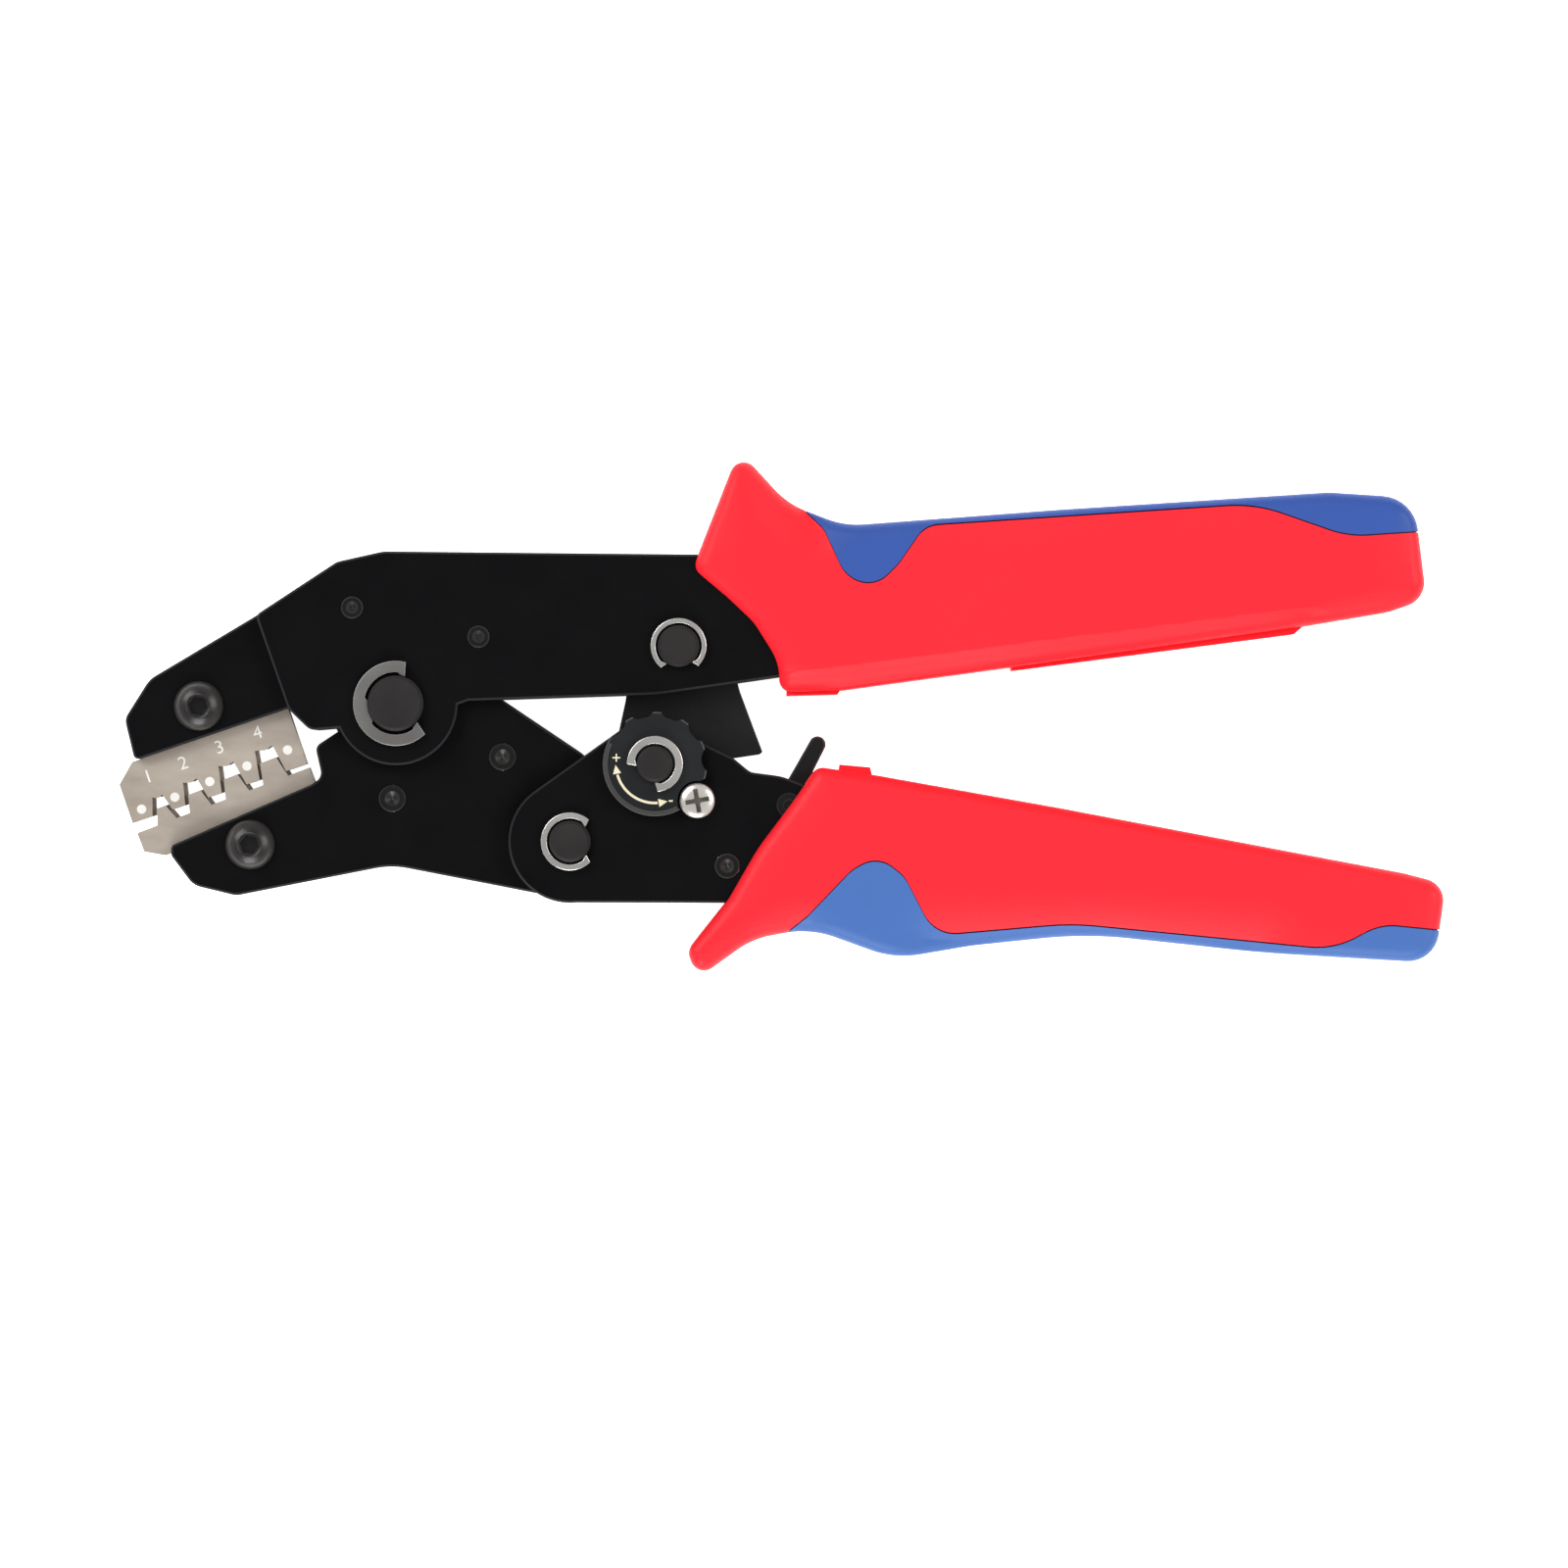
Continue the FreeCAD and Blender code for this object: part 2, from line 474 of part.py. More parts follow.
def save_pawl():
    arm = outline([(56.6, -11.8), PAWL_TIP, (PAWL_TIP[0] + 1.1, PAWL_TIP[1] - 1.3), (56.6, -17.6)])
    lever = strap_face(LEVER[0], LEVER_HALF + 0.2, LEVER[1], LEVER_HALF)
    pawl = slab(union([arm, disc_face(PAWL_PIVOT, 3.2), lever]), -LINK_HALF, LINK_HALF)
    pawl = eased(pawl, 0.25, (-LINK_HALF, LINK_HALF))
    pawl = union([pawl, disc(PAWL_PIVOT, 3.0, -PLATE_IN + 0.05, PLATE_IN - 0.05)])
    save("ratchet_pawl", drilled(pawl, [(PAWL_PIVOT, PAWL_PIN_R + RUNNING)]))
    hook = (PAWL_PIVOT[0] - 4.0, PAWL_PIVOT[1] - 1.2)
    save("pawl_spring", tension_spring(PAWL_SPRING_ANCHOR, hook, 1.1, 0.7, 2.4, 2.4))


# ---------------------------------------------------------------- grips
UPPER_GRIP = [
    (49.6, 35.1), (42.8, 19.6, 2.0), (47.6, 15.3), (51.5, 11.6, 8), (55.0, 6.0, 8), (55.5, 1.2, 1.9),
    (63.6, 1.2), (64.4, 1.9), (87.8, 5.1), (129.4, 10.0), (131.3, 11.2), (143.2, 13.2, 8), (148.4, 15.0, 3.5),
    (146.6, 29.6, 5.5), (134.3, 30.4, 12), (95.4, 27.9), (65.0, 25.6, 12), (56.4, 28.8, 10),
]
UPPER_SEAM = [
    (40.0, 50.0), (57.5, 29.0), (60.3, 26.8, 3), (64.6, 19.5, 4), (68.8, 15.6, 3.2), (73.0, 21.0, 6),
    (77.0, 25.6, 4), (123.6, 28.4, 20), (137.0, 24.0, 12), (149.0, 24.7), (160.0, 50.0),
]
LOWER_GRIP = [
    (60.6, -9.3), (63.6, -9.0), (68.6, -9.3), (69.4, -10.5), (95.4, -15.0, 80), (145.0, -24.4, 4),
    (151.2, -26.0, 3.2), (149.6, -37.4, 4.5), (124.5, -35.9), (99.4, -33.2, 60), (83.0, -34.9), (71.8, -36.6, 14),
    (59.7, -32.6, 14), (51.4, -33.9, 12), (43.9, -38.5), (42.3, -36.0), (47.8, -28.2, 10),
    (52.0, -20.9, 30), (57.1, -14.1),
]
LOWER_SEAM = [
    (40.0, -60.0), (55.0, -34.0), (56.6, -32.7), (66.0, -23.6, 2), (69.4, -21.9, 3.2), (73.6, -25.4, 3),
    (78.0, -33.2, 4), (97.3, -31.9, 40), (136.0, -35.2, 12), (141.0, -31.6, 8), (151.0, -32.6), (160.0, -60.0),
]
INLAY_GAP = 0.03


def save_grip(name, grip_outline, seam_outline, plate_face, relief=None):
    """Soft grip pushed over the tang, with a hard inlay let into its outer side."""
    grip = eased(slab(outline(grip_outline), -GRIP_HALF, GRIP_HALF), GRIP_EASE, (-GRIP_HALF, GRIP_HALF))
    pocket = slab(plate_face.makeOffset2D(FIT), -POCKET_HALF, POCKET_HALF)
    grip = grip.cut(pocket)
    if relief:
        grip = grip.cut(relief)
    inlay_side = outline(seam_outline)
    shell = grip.cut(slab(inlay_side, -20, 20))
    inlay = grip.common(slab(inlay_side.makeOffset2D(-INLAY_GAP), -20, 20))
    save(name + "_grip_shell", shell)
    save(name + "_grip_inlay", inlay)


def save_grips():
    save_grip("upper", UPPER_GRIP, UPPER_SEAM, upper_frame_face())
    lever_relief = slab(outline([(50, -22), (60.6, -22), (60.6, -13.5), (62.0, -10.4), (62.0, -5), (50, -5)]), -2.9, 2.9)
    save_grip("lower", LOWER_GRIP, LOWER_SEAM, handle_plate_face(), lever_relief)


os.makedirs("parts", exist_ok=True)
save_dies()
save_fixed_arm()
save_lower_jaw()
save_moving_handle()
save_ratchet_link()
save_adjuster()
save_pawl()
save_grips()
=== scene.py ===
import bpy
import json
import math
from mathutils import Matrix, Vector


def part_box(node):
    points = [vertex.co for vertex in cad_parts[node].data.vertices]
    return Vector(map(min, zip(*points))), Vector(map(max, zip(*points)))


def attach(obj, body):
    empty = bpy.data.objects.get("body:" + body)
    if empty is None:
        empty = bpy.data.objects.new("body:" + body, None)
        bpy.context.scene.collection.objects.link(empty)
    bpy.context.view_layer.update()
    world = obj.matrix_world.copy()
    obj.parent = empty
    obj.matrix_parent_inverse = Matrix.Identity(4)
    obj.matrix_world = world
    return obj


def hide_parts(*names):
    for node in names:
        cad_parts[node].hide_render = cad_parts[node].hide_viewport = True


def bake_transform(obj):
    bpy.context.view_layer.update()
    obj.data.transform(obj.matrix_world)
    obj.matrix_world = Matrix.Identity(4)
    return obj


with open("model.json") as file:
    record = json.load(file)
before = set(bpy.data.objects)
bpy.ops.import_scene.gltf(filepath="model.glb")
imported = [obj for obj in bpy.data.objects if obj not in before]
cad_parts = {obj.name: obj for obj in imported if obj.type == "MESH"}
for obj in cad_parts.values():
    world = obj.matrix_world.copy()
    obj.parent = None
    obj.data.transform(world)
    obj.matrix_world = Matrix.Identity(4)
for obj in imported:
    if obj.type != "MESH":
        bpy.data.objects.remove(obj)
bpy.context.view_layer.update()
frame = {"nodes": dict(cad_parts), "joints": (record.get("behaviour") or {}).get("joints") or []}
bpy.ops.object.select_all(action="DESELECT")

# The table and the light: a plain pale table top that glows a little, like a light table, and three large
# soft lamps, so that the black plates stay dark and their broken edges catch the light.
bpy.context.scene.view_settings.view_transform = "Standard"
TABLE_SIZE = 2.4
TABLE_LEVEL = -0.00002
TABLE_GLOW = 0.95
ROOM_LIGHT = 0.5
LAMP_SIZE = 0.6
LAMPS = [
    # place, power
    ((-0.6, 0.5, 0.7), 8.0),
    ((0.75, 0.2, 0.7), 6.0),
    ((-0.1, -0.85, 0.55), 9.0),
]
bpy.ops.mesh.primitive_plane_add(size=TABLE_SIZE, location=(0, 0, TABLE_LEVEL))
table = bpy.context.object
table.name = "table_top"
table_paint = bpy.data.materials.new("pale_table")
table_paint.use_nodes = True
table_shader = table_paint.node_tree.nodes["Principled BSDF"]
table_shader.inputs["Base Color"].default_value = (0.94, 0.94, 0.94, 1)
table_shader.inputs["Roughness"].default_value = 0.9
table_shader.inputs["Specular IOR Level"].default_value = 0.1
table_shader.inputs["Emission Color"].default_value = (1, 1, 1, 1)
table_shader.inputs["Emission Strength"].default_value = TABLE_GLOW
table.data.materials.append(table_paint)

world = bpy.data.worlds.new("studio")
world.use_nodes = True
world.node_tree.nodes["Background"].inputs["Color"].default_value = (1, 1, 1, 1)
world.node_tree.nodes["Background"].inputs["Strength"].default_value = ROOM_LIGHT
bpy.context.scene.world = world
for place, power in LAMPS:
    bpy.ops.object.light_add(type="AREA", location=place)
    lamp = bpy.context.object
    lamp.data.size = LAMP_SIZE
    lamp.data.energy = power
    lamp.rotation_euler = (-Vector(place)).to_track_quat("-Z", "Y").to_euler()

# The camera looks straight down on the tool from well above, with a long lens.
CAMERA_OVER = (0.0005, -0.0099)
CAMERA_HEIGHT = 1.6
PICTURE_WIDTH = 0.2257
PICTURE_LEVEL = 0.016
SENSOR_WIDTH = 36
bpy.ops.object.camera_add(location=(*CAMERA_OVER, CAMERA_HEIGHT), rotation=(0, 0, 0))
camera = bpy.context.object
camera.data.sensor_width = SENSOR_WIDTH
camera.data.lens = SENSOR_WIDTH * (CAMERA_HEIGHT - PICTURE_LEVEL) / PICTURE_WIDTH
bpy.context.scene.camera = camera


# Frame plates, jaw plates and handle plates: stamped steel, blackened in a hot bath that leaves a faint
# mottle. Their broken edges are rubbed a little brighter, and their sloping faces carry a painted highlight.
# The jaw cores and spacers are the same steel.
CLOUD_SCALE = 140
GRAIN_SCALE = 2600
GRAIN_DEPTH = 0.0002


def metal_finish(name, colour, mottle, rough, rough_spread, metallic, edge=None, specular=0.5,
                 grain=(1, 1, 1), bump=0.04):
    """Metal with mottled colour, uneven gloss, fine grain and, if asked, broken edges and sloping faces painted
    brighter: rubbed wear and a painted highlight.
    """
    finish = bpy.data.materials.new(name)
    finish.use_nodes = True
    nodes = finish.node_tree.nodes
    links = finish.node_tree.links
    shader = nodes["Principled BSDF"]
    shader.inputs["Metallic"].default_value = metallic
    shader.inputs["Specular IOR Level"].default_value = specular
    place = nodes.new("ShaderNodeTexCoord")
    turn = nodes.new("ShaderNodeMapping")
    turn.inputs["Scale"].default_value = grain
    links.new(place.outputs["Object"], turn.inputs["Vector"])
    cloud = nodes.new("ShaderNodeTexNoise")
    cloud.inputs["Scale"].default_value = CLOUD_SCALE
    cloud.inputs["Detail"].default_value = 5
    links.new(turn.outputs["Vector"], cloud.inputs["Vector"])
    tint = nodes.new("ShaderNodeMix")
    tint.data_type = "RGBA"
    tint.inputs["A"].default_value = (*colour, 1)
    tint.inputs["B"].default_value = (*mottle, 1)
    links.new(cloud.outputs["Fac"], tint.inputs["Factor"])
    links.new(tint.outputs["Result"], shader.inputs["Base Color"])
    if edge:
        # Edge colour set by facing: sloping faces get the full edge colour as rubbed wear and painted highlight,
        # upright sides a quarter of it.
        facing = nodes.new("ShaderNodeSeparateXYZ")
        links.new(place.outputs["Normal"], facing.inputs["Vector"])
        level = nodes.new("ShaderNodeMath")
        level.operation = "ABSOLUTE"
        links.new(facing.outputs["Z"], level.inputs[0])
        wear_and_highlight_ramp = nodes.new("ShaderNodeValToRGB")
        wear_and_highlight_ramp.color_ramp.elements[0].position = 0.2
        wear_and_highlight_ramp.color_ramp.elements[0].color = (0.25, 0.25, 0.25, 1)
        wear_and_highlight_ramp.color_ramp.elements[1].position = 0.97
        wear_and_highlight_ramp.color_ramp.elements[1].color = (0, 0, 0, 1)
        rim = wear_and_highlight_ramp.color_ramp.elements.new(0.6)
        rim.color = (1, 1, 1, 1)
        links.new(level.outputs["Value"], wear_and_highlight_ramp.inputs["Fac"])
        wear_and_highlight = nodes.new("ShaderNodeMix")
        wear_and_highlight.data_type = "RGBA"
        wear_and_highlight.inputs["B"].default_value = (*edge, 1)
        links.new(wear_and_highlight_ramp.outputs["Color"], wear_and_highlight.inputs["Factor"])
        links.new(tint.outputs["Result"], wear_and_highlight.inputs["A"])
        links.new(wear_and_highlight.outputs["Result"], shader.inputs["Base Color"])
    gloss = nodes.new("ShaderNodeMapRange")
    gloss.inputs["To Min"].default_value = rough - rough_spread
    gloss.inputs["To Max"].default_value = rough + rough_spread
    links.new(cloud.outputs["Fac"], gloss.inputs["Value"])
    links.new(gloss.outputs["Result"], shader.inputs["Roughness"])
    fine = nodes.new("ShaderNodeTexNoise")
    fine.inputs["Scale"].default_value = GRAIN_SCALE
    fine.inputs["Detail"].default_value = 3
    links.new(turn.outputs["Vector"], fine.inputs["Vector"])
    relief = nodes.new("ShaderNodeBump")
    relief.inputs["Strength"].default_value = bump
    relief.inputs["Distance"].default_value = GRAIN_DEPTH
    links.new(fine.outputs["Fac"], relief.inputs["Height"])
    links.new(relief.outputs["Normal"], shader.inputs["Normal"])
    return finish


def coat(finish, *names):
    """Give CAD parts a finish."""
    for name in names:
        part = frame["nodes"][name]
        part.data.materials.clear()
        part.data.materials.append(finish)


black_oxide = metal_finish("black_oxide", (0.0018, 0.0018, 0.0022), (0.0038, 0.0038, 0.0042), 0.5, 0.08, 0.0,
                           edge=(0.028, 0.028, 0.030), specular=0.035, bump=0.08)
coat(black_oxide, "upper_frame_front", "upper_frame_rear", "upper_cheek_front", "upper_cheek_rear",
     "upper_jaw_core", "lower_cheek_front", "lower_cheek_rear", "lower_jaw_core", "handle_plate_front",
     "handle_plate_rear", "upper_tang_spacer", "lower_tang_spacer", "handle_pivot_spacer", "link_washers",
     "adjuster_spacers")

# The crimping dies: two comb-shaped plates each, wire-cut from tool steel and ground, left bright. The nests
# are numbered beside them, and every tab of the upper die has a round punch mark.
MM = 0.001
MAIN = Vector(next(joint["pos_m"] for joint in frame["joints"] if joint["name"] == "jaw_pivot"))
DIE_TILT = math.radians(18.8)
DIE_SCREW = Vector((-28.5, -0.35))
DIE_FACE = 11.5
MARK_HEIGHT = 0.03
NUMBER_SIZE = 2.7
NUMBERS = [
    # digit, place along and across the die
    ("1", -10.3, -7.3),
    ("2", -4.9, -7.1),
    ("3", 0.8, -6.6),
    ("4", 6.7, -6.4),
]
PUNCH_R = 0.68
PUNCH_MARKS = [(-12.7, -11.4), (-7.6, -11.3), (-2.1, -10.8), (3.7, -10.4), (10.0, -10.1)]
die_steel = metal_finish("ground_die_steel", (0.28, 0.235, 0.195), (0.45, 0.395, 0.34), 0.42, 0.1, 0.55,
                         edge=(0.6, 0.57, 0.52), grain=(1, 2.5, 1), bump=0.14)
coat(die_steel, "upper_die_front", "upper_die_rear", "lower_die_front", "lower_die_rear")
pale_mark = metal_finish("pale_etched_mark", (0.50, 0.48, 0.45), (0.68, 0.66, 0.63), 0.6, 0.05, 0.1)


def die_place(along, across, level):
    """Point of the upper die's face: along the die line and across it from the die screw."""
    turned = Matrix.Rotation(DIE_TILT, 2) @ Vector((along, across)) + DIE_SCREW
    return Vector((MAIN.x + turned.x * MM, MAIN.y + turned.y * MM, level * MM))


def flat_mark(name, sign, size, finish, place):
    """Thin raised sign, made a mesh and set down with a placement matrix."""
    bpy.ops.object.select_all(action="DESELECT")
    bpy.ops.object.text_add()
    mark = bpy.context.object
    mark.name = name
    mark.data.body = sign
    mark.data.align_x = "CENTER"
    mark.data.align_y = "CENTER"
    mark.data.size = size * MM
    mark.data.extrude = MARK_HEIGHT / 2 * MM
    bpy.ops.object.convert(target="MESH")
    mark = bpy.context.object
    bpy.ops.object.mode_set(mode="EDIT")
    bpy.ops.mesh.select_all(action="SELECT")
    bpy.ops.mesh.remove_doubles(threshold=0.000001)
    bpy.ops.mesh.normals_make_consistent(inside=False)
    bpy.ops.object.mode_set(mode="OBJECT")
    mark.data.transform(place)
    mark.data.materials.append(finish)
    return mark


for digit, along, across in NUMBERS:
    spot = Matrix.Translation(die_place(along, across, DIE_FACE + MARK_HEIGHT / 2))
    turn = Matrix.Rotation(DIE_TILT, 4, "Z")
    mark = flat_mark("nest_number_" + digit, digit, NUMBER_SIZE, pale_mark, spot @ turn)
    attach(mark, "upper_arm")

for number, (along, across) in enumerate(PUNCH_MARKS):
    bpy.ops.object.select_all(action="DESELECT")
    bpy.ops.mesh.primitive_cylinder_add(vertices=28, radius=PUNCH_R * MM, depth=MARK_HEIGHT * 2 * MM)
    dot = bpy.context.object
    dot.name = "punch_mark_%d" % (number + 1)
    dot.data.transform(Matrix.Translation(die_place(along, across, DIE_FACE)))
    dot.data.materials.append(pale_mark)
    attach(dot, "upper_arm")

# The die screws: M4 button heads with a hexagon socket, turned from dark oiled steel, one through each jaw
# and both plates of its die, with a nut at the back.
TIP = 1.3
SEAT = 13.5
SOCKET_FLOOR = 14.2
SOCKET_R = 1.42
SOCKET_DEPTH = 4
BUTTON_SCREW = [
    # radius, level
    (1.7, TIP), (2.0, TIP + 0.3), (2.0, SEAT), (3.45, SEAT), (3.6, SEAT + 0.15), (3.6, 13.85), (3.4, 14.3),
    (3.05, 14.8), (2.6, 15.22), (2.1, 15.5), (1.75, 15.62), (1.6, 15.55),
]
oiled_steel = metal_finish("oiled_steel", (0.014, 0.013, 0.014), (0.034, 0.032, 0.032), 0.32, 0.08, 0.6,
                           edge=(0.07, 0.066, 0.063), specular=0.25, bump=0.1)
coat(oiled_steel, "upper_die_nut", "lower_die_nut")


def turned_piece(name, centre, profile, vertices=64):
    """Round piece about an upright line, from a ring of (radius, level) steps in millimetres."""
    bpy.ops.object.select_all(action="DESELECT")
    radius, level = profile[0]
    bpy.ops.mesh.primitive_circle_add(vertices=vertices, radius=radius * MM, fill_type="NGON",
                                      location=(centre[0], centre[1], level * MM))
    piece = bpy.context.object
    piece.name = name
    bpy.ops.object.transform_apply(location=True, rotation=False, scale=False)
    bpy.ops.object.mode_set(mode="EDIT")
    bpy.ops.mesh.select_all(action="SELECT")
    for next_radius, next_level in profile[1:]:
        rise = (next_level - level) * MM
        bpy.ops.mesh.extrude_region_move(TRANSFORM_OT_translate={"value": (0, 0, rise)})
        grow = next_radius / radius
        middle = (centre[0], centre[1], next_level * MM)
        bpy.ops.transform.resize(value=(grow, grow, 1), center_override=middle)
        radius, level = next_radius, next_level
    bpy.ops.mesh.select_all(action="SELECT")
    bpy.ops.mesh.normals_make_consistent(inside=False)
    bpy.ops.object.mode_set(mode="OBJECT")
    return piece


def shaped(piece, operation, tool):
    """Cut, join or keep the common part of two blocks, and put the tool away."""
    bpy.ops.object.select_all(action="DESELECT")
    bpy.context.view_layer.objects.active = piece
    piece.select_set(True)
    step = piece.modifiers.new("shape", "BOOLEAN")
    step.operation = operation
    step.solver = "EXACT"
    step.object = tool
    bpy.ops.object.modifier_apply(modifier=step.name)
    bpy.data.objects.remove(tool)


def finished(piece, finish, angle=32):
    """Finish a piece's faces: one material, and soft shading up to an angle."""
    piece.data.materials.clear()
    piece.data.materials.append(finish)
    bpy.ops.object.select_all(action="DESELECT")
    bpy.context.view_layer.objects.active = piece
    piece.select_set(True)
    bpy.ops.object.shade_smooth_by_angle(angle=math.radians(angle))


for jaw, body in (("upper", "upper_arm"), ("lower", "lower_jaw")):
    low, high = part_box(jaw + "_die_screw")
    centre = ((low[0] + high[0]) / 2, (low[1] + high[1]) / 2)
    screw = turned_piece(jaw + "_button_screw", centre, BUTTON_SCREW)
    socket_middle = (centre[0], centre[1], (SOCKET_FLOOR + SOCKET_DEPTH / 2) * MM)
    bpy.ops.mesh.primitive_cylinder_add(vertices=6, radius=SOCKET_R * MM, depth=SOCKET_DEPTH * MM,
                                        location=socket_middle, rotation=(0, 0, DIE_TILT))
    shaped(screw, "DIFFERENCE", bpy.context.object)
    finished(screw, oiled_steel, 40)
    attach(screw, body)
    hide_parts(jaw + "_die_screw")

# Rivets and pivot pins: plain turned steel pins. The rivets are punched at both ends to spread them, so that
# the pawl's rivet fills its holes in the two handle plates. The pivot pins have a head at the back and a groove
# for a ring at the front.
rivet_steel = metal_finish("rivet_steel", (0.006, 0.006, 0.0065), (0.012, 0.0115, 0.0115), 0.28, 0.08, 0.5,
                           edge=(0.055, 0.055, 0.052), specular=0.3, bump=0.1)
coat(rivet_steel, "upper_frame_rivet", "spring_anchor_pin", "lower_jaw_rivets", "pawl_spring_anchor")
low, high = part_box("pawl_pin")
centre = ((low[0] + high[0]) / 2, (low[1] + high[1]) / 2)
foot, top = low[2] / MM, high[2] / MM
SHANK_R = 1.8
SPREAD_R = 1.85
pawl_rivet = turned_piece("pawl_rivet", centre, [
    (0.7, foot + 0.3), (0.9, foot), (1.65, foot), (SPREAD_R, foot + 0.2), (SPREAD_R, 4.3), (SHANK_R, 4.5),
    (SHANK_R, 13.5), (SPREAD_R, 13.7), (SPREAD_R, top - 0.2), (1.65, top), (0.9, top), (0.7, top - 0.3),
])
finished(pawl_rivet, rivet_steel)
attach(pawl_rivet, "lower_handle")
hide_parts("pawl_pin")
pin_steel = metal_finish("pin_steel", (0.013, 0.0115, 0.012), (0.026, 0.0235, 0.023), 0.42, 0.08, 0.2,
                         edge=(0.02, 0.019, 0.019), specular=0.15, bump=0.12)
coat(pin_steel, "main_pivot_pin", "link_pivot_pin", "handle_pivot_pin", "adjusting_pin")

# Retaining rings: open rings stamped from spring steel and sprung into the grooves of the pins, which they
# grip with their two ends, and the large one with its back too. The large one is phosphated grey, the small
# ones are polished.
MID_LEVEL = 9.0
RING_LIFT = 0.06
RING_THICK = 0.9
RING_BREAK = 0.12
RING_STEPS = 48


def drawn_block(name, corners, half, rim=0.0, middle=MID_LEVEL):
    """Closed block between -half and +half of a mid level; a corner's third number is its radius."""
    bpy.ops.object.select_all(action="DESELECT")
    bpy.ops.curve.primitive_bezier_circle_add(radius=0.01)
    block = bpy.context.object
    block.name = name
    block.data.dimensions = "2D"
    block.data.fill_mode = "BOTH"
    block.data.resolution_u = 8
    block.data.extrude = (half - rim) * MM
    block.data.bevel_depth = rim * MM
    block.data.bevel_resolution = 5
    block.data.offset = -rim * MM
    turning = sum(a[0] * b[1] - b[0] * a[1] for a, b in zip(corners, corners[1:] + corners[:1]))
    if turning < 0:
        corners = corners[::-1]
    knots = []
    for i, corner in enumerate(corners):
        here = Vector(corner[:2])
        back = (Vector(corners[i - 1][:2]) - here).normalized()
        ahead = (Vector(corners[(i + 1) % len(corners)][:2]) - here).normalized()
        if len(corner) == 2:
            knots.append((here, here, here))
            continue
        opening = back.angle(ahead)
        run = corner[2] / math.tan(opening / 2)
        pull = corner[2] * 4 / 3 * math.tan((math.pi - opening) / 4)
        start = here + back * run
        end = here + ahead * run
        knots.append((start, start, start - back * pull))
        knots.append((end - ahead * pull, end, end))
    points = block.data.splines[0].bezier_points
    points.add(len(knots) - len(points))
    for point, (left, centre, right) in zip(points, knots):
        point.handle_left_type = "FREE"
        point.handle_right_type = "FREE"
        point.co = (*(centre * MM), 0)
        point.handle_left = (*(left * MM), 0)
        point.handle_right = (*(right * MM), 0)
    for i, point in enumerate(points):
        ahead = points[(i + 1) % len(points)]
        if (point.handle_right - point.co).length < 1e-9:
            point.handle_right = point.co.lerp(ahead.co, 1 / 3)
        if (ahead.handle_left - ahead.co).length < 1e-9:
            ahead.handle_left = ahead.co.lerp(point.co, 1 / 3)
    bpy.ops.object.convert(target="MESH")
    block = bpy.context.object
    block.data.transform(Matrix.Translation((MAIN.x, MAIN.y, middle * MM)))
    bpy.ops.object.mode_set(mode="EDIT")
    bpy.ops.mesh.select_all(action="SELECT")
    bpy.ops.mesh.remove_doubles(threshold=0.000002)
    bpy.ops.mesh.normals_make_consistent(inside=False)
    bpy.ops.object.mode_set(mode="OBJECT")
    return block


def ring_corners(centre, pin, inner, outer, first, last, back):
    """Outline of an open ring from one end's angle to the other's, gripping with its ends and back."""
    steps = [first + (last - first) * i / RING_STEPS for i in range(RING_STEPS + 1)]
    corners = []
    for angle in steps[1:-1]:
        corners.append(Vector(centre) + Matrix.Rotation(math.radians(angle), 2) @ Vector((outer, 0)))
    for angle in reversed(steps):
        from_end = min(angle - first, last - angle)
        from_back = abs(angle - (first + last) / 2) if back else 180
        grip = max(0.0, 1 - from_end / 16) + max(0.0, min(1.0, (26 - from_back) / 8))
        reach = inner + (pin - inner) * min(1.0, grip * 2)
        corners.append(Vector(centre) + Matrix.Rotation(math.radians(angle), 2) @ Vector((reach, 0)))
    return [tuple(corner) for corner in corners]


# Both ring finishes have much lighter edge colours, so their rims carry a painted highlight as well as wear.
grey_ring = metal_finish("grey_ring_steel", (0.10, 0.096, 0.092), (0.17, 0.165, 0.158), 0.4, 0.1, 0.6,
                         edge=(0.5, 0.49, 0.47), bump=0.15)
bright_ring = metal_finish("bright_ring_steel", (0.42, 0.41, 0.39), (0.62, 0.61, 0.59), 0.25, 0.08, 0.9,
                           edge=(0.85, 0.84, 0.82), bump=0.1)
RINGS = [
    # node, body, centre, pin's and ring's radii, the angles of the two ends, gripping back, level, finish
    ("main_pivot_clip", "upper_arm", (0, 0), (4.06, 4.5, 6.12), (71, 319), True, 16.1, grey_ring),
    ("link_pivot_clip", "upper_arm", (40.71, 8.25), (3.05, 3.3, 4.03), (-51, 237), False, 16.1, bright_ring),
    ("handle_pivot_clip", "lower_handle", (25.06, -19.87), (3.05, 3.3, 4.18), (43, 321), False, 16.1, bright_ring),
    ("adjusting_pin_clip", "adjuster", (37.32, -8.73), (2.65, 2.9, 4.03), (-90, 186), False, 17.75, bright_ring),
]
for node, body, centre, radii, ends, back, level, finish in RINGS:
    ring = drawn_block(node.replace("clip", "ring"), ring_corners(centre, *radii, *ends, back),
                       RING_THICK / 2, RING_BREAK, level + RING_LIFT + RING_THICK / 2)
    finished(ring, finish, 50)
    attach(ring, body)
    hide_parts(node)

